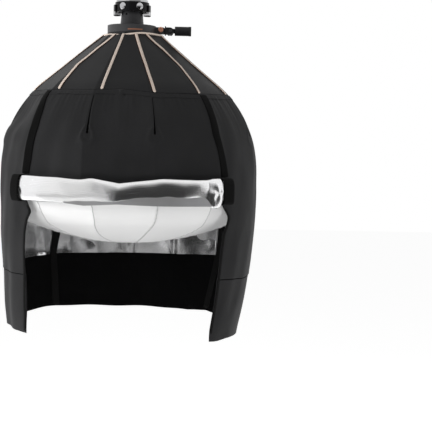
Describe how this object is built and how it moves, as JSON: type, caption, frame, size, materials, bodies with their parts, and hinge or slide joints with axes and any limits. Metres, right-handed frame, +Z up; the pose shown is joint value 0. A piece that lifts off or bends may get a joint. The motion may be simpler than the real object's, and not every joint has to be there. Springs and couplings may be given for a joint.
{
  "type": "studio softbox",
  "caption": "Round lantern softbox on a side bracket: ribbed cloth dome, white globe diffuser, black skirt with a rolled-up silver front flap, and a bayonet head for the light.",
  "frame": {"origin": "middle of the clamp ring, on the softbox's own axis", "axes": "+Z up along the softbox's axis towards the light, +X towards the stand arm's socket, -Y towards the rolled front flap"},
  "size_m": [0.696, 0.7223, 0.877],
  "materials": {
    "hub_black": "fine satin powder coat",
    "neck_black": "fine satin powder coat",
    "collar_black": "gloss black coat",
    "chrome": "bright plated",
    "steel_screws": "machined",
    "copper": "copper-coloured anodising, knurled",
    "clamp_hardware": "blackened",
    "bracket_black": "satin powder coat",
    "rim_black": "moulded",
    "knob_black": "moulded, lobed",
    "liner": "moulded",
    "rods": "drawn glass fibre",
    "dome_cloth": "close black nylon, silver inside",
    "beige_tape": "diagonal bias tape",
    "skirt_cloth": "close black nylon, silver inside",
    "band_cloth": "matt black nylon",
    "hook_tape": "hook-and-loop tape",
    "edge_tape": "ribbed binding",
    "silver_cloth": "metallised ripstop, silver side out",
    "strap_web": "woven elastic",
    "diffuser_cloth": "white knitted diffuser"
  },
  "bodies": {
    "arm_socket": {"arm_socket": "bracket_black", "arm_socket_rim": "rim_black"},
    "arm_lock": {"arm_lock_screw": "clamp_hardware", "arm_lock_bar": "clamp_hardware"},
    "ring_clamp": {"ring_clamp": "hub_black", "clamp_liner": "liner", "clamp_nut": "clamp_hardware", "tilt_bracket": "bracket_black", "bracket_screws": "steel_screws", "tilt_washers": "steel_screws", "tilt_bolt": "clamp_hardware"},
    "clamp_screw": {"clamp_screw": "copper"},
    "tilt_knob": {"tilt_knob": "knob_black"},
    "softbox": {"bayonet_claws": "chrome", "bayonet_collar": "collar_black", "bayonet_face_ring": "chrome", "collar_piping": "beige_tape", "collar_screws": "chrome", "corner_strip_front_left": "hook_tape", "corner_strip_front_right": "hook_tape", "corner_strip_rear_left": "hook_tape", "corner_strip_rear_right": "hook_tape", "corner_tape_rear_left": "hook_tape", "corner_tape_rear_right": "hook_tape", "dome_shell": "dome_cloth", "front_roll": "silver_cloth", "globe_diffuser": "diffuser_cloth", "hub_ring": "hub_black", "neck_screws": "steel_screws", "neck_set_screws": "steel_screws", "neck_tube": "neck_black", "rib_piping": "beige_tape", "rod_01": "rods", "rod_02": "rods", "rod_03": "rods", "rod_04": "rods", "rod_05": "rods", "rod_06": "rods", "rod_07": "rods", "rod_08": "rods", "rod_09": "rods", "rod_10": "rods", "rod_11": "rods", "rod_12": "rods", "rod_ends": "steel_screws", "rod_tips": "liner", "roll_strap_left": "strap_web", "roll_strap_right": "strap_web", "skirt_back": "skirt_cloth", "skirt_band_back": "band_cloth", "skirt_band_left": "band_cloth", "skirt_band_right": "band_cloth", "skirt_front": "skirt_cloth", "skirt_hem_band": "skirt_cloth", "skirt_left": "skirt_cloth", "skirt_right": "skirt_cloth", "window_binding_left": "edge_tape", "window_binding_right": "edge_tape"}
  },
  "joints": [
    {"name": "arm_tilt", "type": "hinge", "parent": "arm_socket", "child": "ring_clamp", "pos_m": [0.1036, 0, 0], "axis": [0, 1, 0], "range_deg": [-40, 90]},
    {"name": "pan", "type": "hinge", "parent": "ring_clamp", "child": "softbox", "pos_m": [0, 0, 0], "axis": [0, 0, 1], "continuous": true},
    {"name": "clamp_screw_turn", "type": "hinge", "parent": "ring_clamp", "child": "clamp_screw", "pos_m": [0.078, 0, 0.002], "axis": [0, 1, 0], "range_deg": [0, 360]},
    {"name": "tilt_knob_turn", "type": "hinge", "parent": "ring_clamp", "child": "tilt_knob", "pos_m": [0.1036, 0.018, 0], "axis": [0, 1, 0], "range_deg": [0, 360]},
    {"name": "arm_lock_turn", "type": "hinge", "parent": "arm_socket", "child": "arm_lock", "pos_m": [0.138, 0.024, 0], "axis": [0, 1, 0], "range_deg": [0, 360]}
  ]
}
